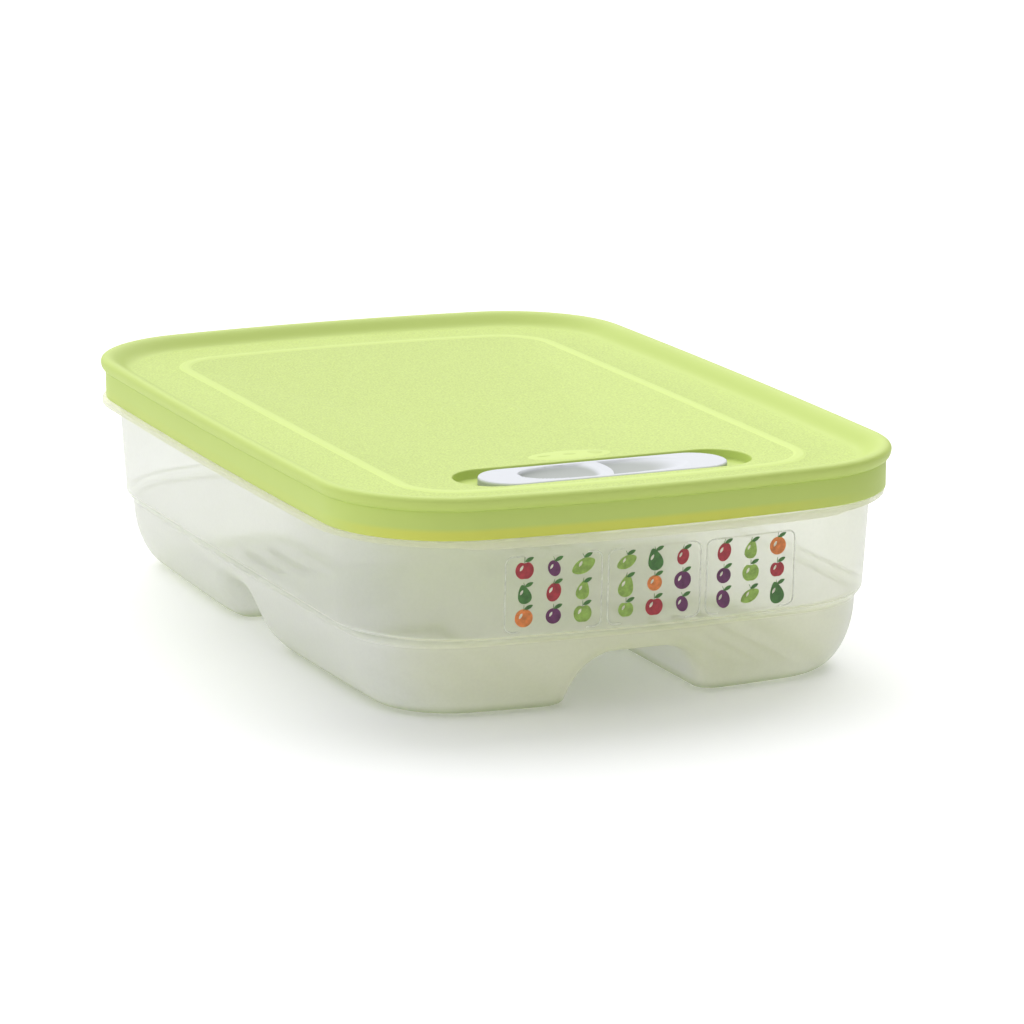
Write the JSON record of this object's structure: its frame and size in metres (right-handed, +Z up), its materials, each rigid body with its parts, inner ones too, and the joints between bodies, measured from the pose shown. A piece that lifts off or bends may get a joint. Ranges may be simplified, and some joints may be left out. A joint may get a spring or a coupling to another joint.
{
  "type": "produce keeper",
  "caption": "Shallow translucent fridge container for produce on four broad feet, with a soft press-fit lid and a sliding vent set into the lid.",
  "frame": {"origin": "middle of the footprint, on the surface that the feet stand on", "axes": "+Z up; Y along the keeper with the vent end at -Y; X across it"},
  "size_m": [0.196, 0.2916, 0.074],
  "materials": {
    "translucent_plastic": "milky translucent polypropylene, smooth",
    "lid_plastic": "soft polyethylene, fine-grained panel, smooth rim",
    "vent_plastic": "hard white plastic, satin"
  },
  "bodies": {
    "container": {"container": "translucent_plastic"},
    "lid": {"lid": "lid_plastic"},
    "vent": {"vent_slider": "vent_plastic", "vent_shutter": "vent_plastic"}
  },
  "joints": [
    {"name": "lid_lift", "type": "slide", "parent": "container", "child": "lid", "axis": [0, 0, 1], "range_m": [0, 0.1]},
    {"name": "vent_slide", "type": "slide", "parent": "lid", "child": "vent", "axis": [1, 0, 0], "range_m": [-0.008, 0.008]}
  ]
}
